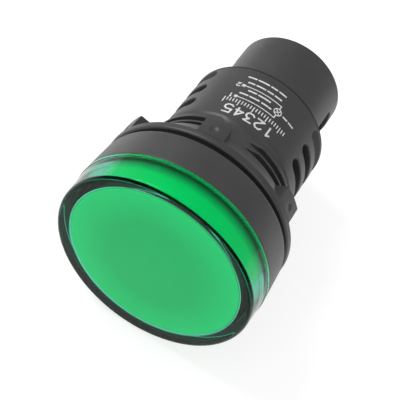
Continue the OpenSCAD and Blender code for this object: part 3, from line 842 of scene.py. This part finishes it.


# ---- lens and diffuser

lens = {
    "radius": lensHigh[0],
    "front": lensLow[1],
    "rear": lensHigh[1],
    "bezelFront": housingLow[1],
    "pocketRadius": 17.4,
    "spigotRadius": 18.3,
    "face": 1.0,            # thickness of the face
    "draft": 0.25,
    "edge": 0.8,
    "lipWidth": 0.1,
    "lipHeight": 0.6,
}
lensOutline = roundOutline([
    (0, lens["front"], 0), (lens["radius"] - lens["draft"], lens["front"], lens["edge"]),
    (lens["radius"] - lens["lipWidth"], lens["bezelFront"] - lens["lipHeight"], 0.04),
    (lens["radius"], lens["bezelFront"] - lens["lipHeight"], 0.04),
    (lens["radius"], lens["bezelFront"] - 0.02, 0.04), (lens["spigotRadius"], lens["bezelFront"] - 0.02, 0.1),
    (lens["spigotRadius"], lens["rear"], 0.2), (lens["pocketRadius"], lens["rear"], 0.2),
    (lens["pocketRadius"], lens["front"] + lens["face"], 0.3), (0, lens["front"] + lens["face"], 0)], steps=9)
makePiece("clear_lens", [turned(lensOutline)], "housing", lensPlastic, ["lens"])

diffuser = {"radius": diffuserHigh[0], "bore": 16.1, "front": diffuserLow[1], "rear": diffuserHigh[1],
            "face": 1.2, "edge": 0.7,
            "shown": 5.7}       # length of the skirt that shows between the lens face and the bezel
diffuserOutline = roundOutline([
    (0, diffuser["front"], 0), (diffuser["radius"], diffuser["front"], diffuser["edge"]),
    (diffuser["radius"], diffuser["rear"], 0.1), (diffuser["bore"], diffuser["rear"], 0.1),
    (diffuser["bore"], diffuser["front"] + diffuser["face"], 0.4), (0, diffuser["front"] + diffuser["face"], 0)])
# the rim tone is a painted highlight, the fourth tone is painted shade at the skirt's ends, and 0.22 is the strength
# of a painted glow
diffuserPlastic = frostedPlastic("frosted green", diffuser, tone(0.0, 0.72, 0.25), tone(0.0, 0.95, 0.34),
                                 tone(0.0, 0.95, 0.3), tone(0.03, 0.2, 0.09), 0.22)
makePiece("frosted_diffuser", [turned(diffuserOutline)], "housing", diffuserPlastic,
          ["diffuser"])
print("lens and diffuser made")


# ---- pieces that keep the frame's own shape

def dress(look, *names):
    for name in names:
        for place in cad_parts[name].material_slots:
            place.material = look


dress(sealRubber, "lens_seal")
dress(whiteBoard, "led_board")
dress(lampEpoxy, "led_lamps")
dress(greenBoard, "driver_board")
dress(giltPin, "board_pins")
dress(redCase, "film_capacitor")
dress(blueSleeve, "electrolytic_capacitor")
dress(blackEpoxy, "bridge_rectifier")
dress(resistorLacquer, "resistors")
dress(basePlastic, "terminal_base")
dress(platedBrass, "terminal_plate_1", "terminal_plate_2")
dress(platedSteel, "clamp_washer_1", "clamp_washer_2", "terminal_screw_1", "terminal_screw_2")
dress(redInsulation, "lead_wire_1")
dress(greyInsulation, "lead_wire_2")
print("inner pieces dressed")


# ---- floor, light and camera

floorZ = cadBox[0].z


def paleFloor():
    look = newLook("pale floor")
    path = look.add("ShaderNodeLightPath", output="Is Camera Ray")
    seen = path.math("MAXIMUM", path, path.beside("Is Glossy Ray"))
    seen = path.math("MAXIMUM", seen, path.beside("Is Transmission Ray"))
    colour = look.mix(seen, tone(0.8, 0.8, 0.8), tone(0.45, 0.45, 0.45))
    matt = look.add("ShaderNodeBsdfDiffuse", None, {"Color": colour})
    light = look.add("ShaderNodeEmission", None, {"Color": tone(1, 1, 1), "Strength": seen * 0.7})
    return look.finish(look.add("ShaderNodeAddShader", None, {0: matt, 1: light}))


def buildStage(reach=1.5):
    mesh = bpy.data.meshes.new("floor")
    corners = [(-reach, -reach, floorZ), (reach, -reach, floorZ), (reach, reach, floorZ), (-reach, reach, floorZ)]
    mesh.from_pydata(corners, [], [(0, 1, 2, 3)])
    mesh.materials.append(paleFloor())
    floor = bpy.data.objects.new("floor", mesh)
    bpy.context.collection.objects.link(floor)


def buildWorld(strength):
    bpy.context.scene.world = bpy.data.worlds.new("studio")
    look = Look(bpy.context.scene.world)
    path = look.add("ShaderNodeLightPath", output="Is Camera Ray")
    seen = path.math("MAXIMUM", path, path.beside("Is Transmission Ray"))
    level = strength + (1 - strength) * seen
    look.finish(look.add("ShaderNodeBackground", None, {"Color": tone(1, 1, 1), "Strength": level}),
                "ShaderNodeOutputWorld")


def softLight(name, place, target, width, height, power):
    lamp = bpy.data.lights.new(name, "AREA")
    lamp.shape, lamp.size, lamp.size_y, lamp.energy = "RECTANGLE", width, height, power
    light = bpy.data.objects.new(name, lamp)
    light.location = place
    light.rotation_mode = "QUATERNION"
    light.rotation_quaternion = (Vector(target) - Vector(place)).to_track_quat("-Z", "Y")
    bpy.context.collection.objects.link(light)


buildStage()
buildWorld(0.55)
middle = (0, 0.014, 0)
softLight("key", (-0.40, 0.08, 0.44), middle, 0.32, 0.32, 2.3)
softLight("fill", (0.35, -0.30, 0.40), middle, 0.4, 0.4, 0.8)

# the camera looks down on the lens from the front right, rolled to the left
view = {
    "place": (0.02818, -0.14716, 0.18585),
    "right": (0.84826, 0.46618, 0.25127),
    "up": (-0.51647, 0.62324, 0.58724),
    "forward": (-0.11716, 0.62789, -0.76942),
    "lens": 117,
}
cameraData = bpy.data.cameras.new("camera")
cameraData.lens, cameraData.sensor_width = view["lens"], 36
cameraData.clip_start, cameraData.clip_end = 0.01, 10
camera = bpy.data.objects.new("camera", cameraData)
bpy.context.collection.objects.link(camera)
turnedBy = Matrix((view["right"], view["up"], -Vector(view["forward"]))).transposed()
camera.matrix_world = Matrix.Translation(view["place"]) @ turnedBy.to_4x4()
bpy.context.scene.camera = camera
bpy.context.scene.view_settings.view_transform = "Standard"
print("stage made")
